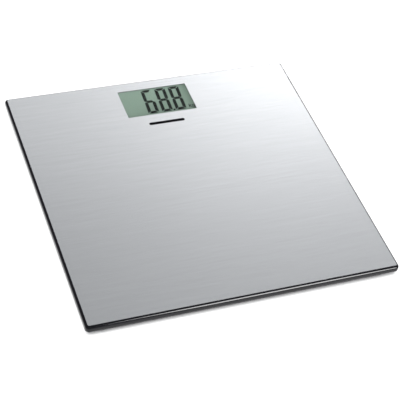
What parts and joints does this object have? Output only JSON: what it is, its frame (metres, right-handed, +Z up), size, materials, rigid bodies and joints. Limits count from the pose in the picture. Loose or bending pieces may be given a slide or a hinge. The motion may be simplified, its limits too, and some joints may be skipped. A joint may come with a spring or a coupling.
{
  "type": "digital bathroom scale",
  "caption": "Slim square platform scale: brushed steel sheet on dark glass, recessed liquid crystal reading window at the back edge, load-cell feet and a sliding battery door below.",
  "frame": {"origin": "on the floor, under the middle of the square plate", "axes": "+Z up, +Y towards the display edge, +X to the right when the reading is upright"},
  "size_m": [0.3, 0.3, 0.018],
  "materials": {
    "brushed_sheet": "fine brushed, satin",
    "backed_glass": "tempered, black-backed, polished edge",
    "foam_tape": "closed-cell foam",
    "black_abs": "fine spark-eroded grain",
    "grey_abs": "satin moulded",
    "white_abs": "satin moulded",
    "pad_rubber": "matt ribbed",
    "display_panel": "reflective liquid crystal panel under a satin polariser",
    "zebra_rubber": "layered silicone",
    "circuit_board": "solder mask",
    "epoxy": "cast epoxy",
    "cell_steel": "stamped, nickel plated",
    "spring_steel": "nickel plated",
    "zinc_steel": "zinc plated",
    "silicone": "cured silicone",
    "red_pvc": "lead insulation",
    "black_pvc": "lead insulation",
    "grey_pvc": "lead insulation"
  },
  "bodies": {
    "platform": {"top_sheet": "brushed_sheet", "platform_glass": "backed_glass", "platform_tape": "foam_tape", "base_tray": "black_abs", "lcd_panel": "display_panel", "lcd_frame": "white_abs", "zebra_strip_front": "zebra_rubber", "zebra_strip_back": "zebra_rubber", "main_board": "circuit_board", "chip_cover": "epoxy", "unit_switch": "grey_abs", "board_screw_1": "zinc_steel", "board_screw_2": "zinc_steel", "board_screw_3": "zinc_steel", "board_screw_4": "zinc_steel", "coin_cell": "spring_steel", "cell_contact_plus": "spring_steel", "cell_contact_minus": "spring_steel", "battery_lead_plus": "red_pvc", "battery_lead_minus": "black_pvc", "load_cell_front_left": "cell_steel", "gauge_cover_front_left": "silicone", "cell_clamp_front_left": "grey_abs", "clamp_screw_front_left_a": "zinc_steel", "clamp_screw_front_left_b": "zinc_steel", "sensor_lead_front_left": "grey_pvc", "load_cell_front_right": "cell_steel", "gauge_cover_front_right": "silicone", "cell_clamp_front_right": "grey_abs", "clamp_screw_front_right_a": "zinc_steel", "clamp_screw_front_right_b": "zinc_steel", "sensor_lead_front_right": "grey_pvc", "load_cell_back_left": "cell_steel", "gauge_cover_back_left": "silicone", "cell_clamp_back_left": "grey_abs", "clamp_screw_back_left_a": "zinc_steel", "clamp_screw_back_left_b": "zinc_steel", "sensor_lead_back_left": "grey_pvc", "load_cell_back_right": "cell_steel", "gauge_cover_back_right": "silicone", "cell_clamp_back_right": "grey_abs", "clamp_screw_back_right_a": "zinc_steel", "clamp_screw_back_right_b": "zinc_steel", "sensor_lead_back_right": "grey_pvc"},
    "foot_front_left": {"foot_cap_front_left": "black_abs", "foot_pad_front_left": "pad_rubber"},
    "foot_front_right": {"foot_cap_front_right": "black_abs", "foot_pad_front_right": "pad_rubber"},
    "foot_back_left": {"foot_cap_back_left": "black_abs", "foot_pad_back_left": "pad_rubber"},
    "foot_back_right": {"foot_cap_back_right": "black_abs", "foot_pad_back_right": "pad_rubber"},
    "battery_door": {"battery_door": "black_abs"},
    "unit_button": {"unit_button": "grey_abs"}
  },
  "joints": [
    {"name": "foot_front_left_press", "type": "slide", "parent": "platform", "child": "foot_front_left", "axis": [0, 0, 1], "range_m": [0, 0.0005], "stiffness_N_per_m": 2500, "springref_m": -0.0032},
    {"name": "foot_front_right_press", "type": "slide", "parent": "platform", "child": "foot_front_right", "axis": [0, 0, 1], "range_m": [0, 0.0005], "stiffness_N_per_m": 2500, "springref_m": -0.0032},
    {"name": "foot_back_left_press", "type": "slide", "parent": "platform", "child": "foot_back_left", "axis": [0, 0, 1], "range_m": [0, 0.0005], "stiffness_N_per_m": 2500, "springref_m": -0.0032},
    {"name": "foot_back_right_press", "type": "slide", "parent": "platform", "child": "foot_back_right", "axis": [0, 0, 1], "range_m": [0, 0.0005], "stiffness_N_per_m": 2500, "springref_m": -0.0032},
    {"name": "battery_door_slide", "type": "slide", "parent": "platform", "child": "battery_door", "axis": [1, 0, 0], "range_m": [0, 0.026]},
    {"name": "unit_button_press", "type": "slide", "parent": "platform", "child": "unit_button", "axis": [0, 0, 1], "range_m": [0, 0.0005], "stiffness_N_per_m": 60, "springref_m": -0.002}
  ]
}
